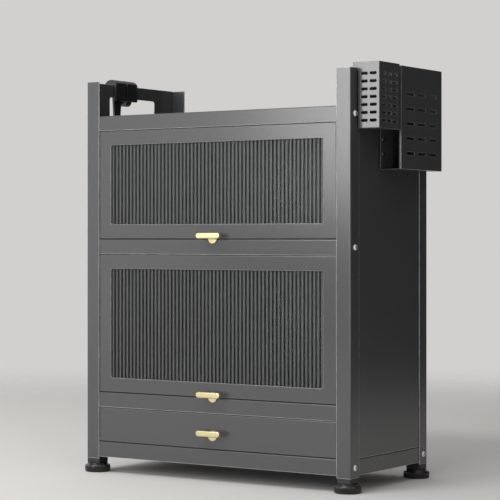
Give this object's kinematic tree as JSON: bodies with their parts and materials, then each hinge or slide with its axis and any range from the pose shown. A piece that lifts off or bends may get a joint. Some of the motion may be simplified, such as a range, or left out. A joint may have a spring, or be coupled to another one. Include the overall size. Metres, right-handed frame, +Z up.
{
  "type": "countertop dish cabinet",
  "caption": "Free-standing countertop dish cabinet of folded sheet steel with flip-up reeded-glass doors, a drawer, wire racks, hung bins and levelling feet.",
  "frame": {"origin": "bottom centre of the bounding box, on the surface the feet stand on", "axes": "+Z up, +Y towards the back, +X to the right as seen from the front"},
  "size_m": [0.6658, 0.3185, 0.777],
  "materials": {
    "dark_paint": "satin dark grey powder coat",
    "black_plastic": "matte black moulded plastic",
    "reeded_glass": "reeded grey-tinted glass",
    "gasket_rubber": "black rubber",
    "pale_gold": "satin pale gold",
    "screw_steel": "plain zinc-plated steel",
    "black_steel": "black oxide steel",
    "rack_wire": "black coated wire",
    "runner_steel": "zinc-plated runner steel",
    "magnet": "nickel-plated magnet",
    "foot_plastic": "dark grey ribbed plastic",
    "nylon": "black nylon"
  },
  "bodies": {
    "cabinet": {"post_front_left": "dark_paint", "post_front_right": "dark_paint", "post_back_left": "dark_paint", "post_back_right": "dark_paint", "post_shoes": "black_plastic", "top_panel": "dark_paint", "middle_shelf": "dark_paint", "lower_shelf": "dark_paint", "bottom_panel": "dark_paint", "side_panel_left": "dark_paint", "side_panel_right": "dark_paint", "back_panel": "dark_paint", "guard_rail_left": "dark_paint", "guard_rail_right": "dark_paint", "frame_screws": "screw_steel", "frame_nuts": "screw_steel", "back_panel_screws": "black_steel", "upper_pivot_blocks": "nylon", "lower_pivot_blocks": "nylon", "catch_housings": "black_plastic", "catch_magnets": "magnet", "runner_outer_members": "runner_steel", "runner_brackets": "runner_steel"},
    "upper_door": {"upper_door_frame": "dark_paint", "upper_door_liner": "dark_paint", "upper_door_glass": "reeded_glass", "upper_door_gasket": "gasket_rubber", "upper_door_handle": "pale_gold", "upper_handle_screw": "screw_steel", "upper_pivot_pins": "screw_steel"},
    "lower_door": {"lower_door_frame": "dark_paint", "lower_door_liner": "dark_paint", "lower_door_glass": "reeded_glass", "lower_door_gasket": "gasket_rubber", "lower_door_handle": "pale_gold", "lower_handle_screw": "screw_steel", "lower_pivot_pins": "screw_steel"},
    "drawer": {"drawer_front": "dark_paint", "drawer_tray": "dark_paint", "drawer_handle": "pale_gold", "drawer_handle_screw": "screw_steel", "drawer_front_screws": "screw_steel", "runner_inner_members": "runner_steel"},
    "ball_cages": {"runner_ball_cages": "runner_steel"},
    "chopstick_holder": {"chopstick_bin": "dark_paint"},
    "knife_holder": {"knife_bin": "dark_paint", "knife_bin_buttons": "screw_steel"},
    "front_hook": {"long_hook": "black_plastic"},
    "rear_hook": {"short_hook": "black_plastic"},
    "bowl_rack": {"bowl_rack_rims": "rack_wire", "bowl_rack_grid": "rack_wire", "bowl_rack_legs": "rack_wire"},
    "plate_rack": {"plate_rack_frame": "rack_wire", "plate_rack_loops": "rack_wire", "plate_rack_legs": "rack_wire"},
    "front_left_foot": {"foot_front_left": "foot_plastic"},
    "front_right_foot": {"foot_front_right": "foot_plastic"},
    "back_left_foot": {"foot_back_left": "foot_plastic"},
    "back_right_foot": {"foot_back_right": "foot_plastic"}
  },
  "joints": [
    {"name": "upper_door_hinge", "type": "hinge", "parent": "cabinet", "child": "upper_door", "pos_m": [-0.0141, -0.13375, 0.658], "axis": [-1, 0, 0], "range_deg": [0, 90]},
    {"name": "lower_door_hinge", "type": "hinge", "parent": "cabinet", "child": "lower_door", "pos_m": [-0.0141, -0.13375, 0.417], "axis": [-1, 0, 0], "range_deg": [0, 90]},
    {"name": "drawer_slide", "type": "slide", "parent": "cabinet", "child": "drawer", "axis": [0, -1, 0], "range_m": [0, 0.19]},
    {"name": "cage_slide", "type": "slide", "parent": "cabinet", "child": "ball_cages", "axis": [0, -1, 0], "range_m": [0, 0.0955]},
    {"name": "chopstick_holder_lift", "type": "slide", "parent": "cabinet", "child": "chopstick_holder", "axis": [0, 0, 1], "range_m": [0, 0.02]},
    {"name": "knife_holder_lift", "type": "slide", "parent": "cabinet", "child": "knife_holder", "axis": [0, 0, 1], "range_m": [0, 0.02]},
    {"name": "front_hook_lift", "type": "slide", "parent": "cabinet", "child": "front_hook", "axis": [0, 0, 1], "range_m": [0, 0.035]},
    {"name": "rear_hook_lift", "type": "slide", "parent": "cabinet", "child": "rear_hook", "axis": [0, 0, 1], "range_m": [0, 0.035]},
    {"name": "bowl_rack_lift", "type": "slide", "parent": "cabinet", "child": "bowl_rack", "axis": [0, 0, 1], "range_m": [0, 0.06]},
    {"name": "plate_rack_lift", "type": "slide", "parent": "cabinet", "child": "plate_rack", "axis": [0, 0, 1], "range_m": [0, 0.06]},
    {"name": "front_left_foot_turn", "type": "hinge", "parent": "cabinet", "child": "front_left_foot", "pos_m": [-0.2991, -0.12575, 0.014], "axis": [0, 0, 1], "continuous": true},
    {"name": "front_right_foot_turn", "type": "hinge", "parent": "cabinet", "child": "front_right_foot", "pos_m": [0.2709, -0.12575, 0.014], "axis": [0, 0, 1], "continuous": true},
    {"name": "back_left_foot_turn", "type": "hinge", "parent": "cabinet", "child": "back_left_foot", "pos_m": [-0.2991, 0.13425, 0.014], "axis": [0, 0, 1], "continuous": true},
    {"name": "back_right_foot_turn", "type": "hinge", "parent": "cabinet", "child": "back_right_foot", "pos_m": [0.2709, 0.13425, 0.014], "axis": [0, 0, 1], "continuous": true}
  ],
  "couplings": [
    {"joint": "cage_slide", "follows": "drawer_slide", "ratio": 0.5}
  ]
}
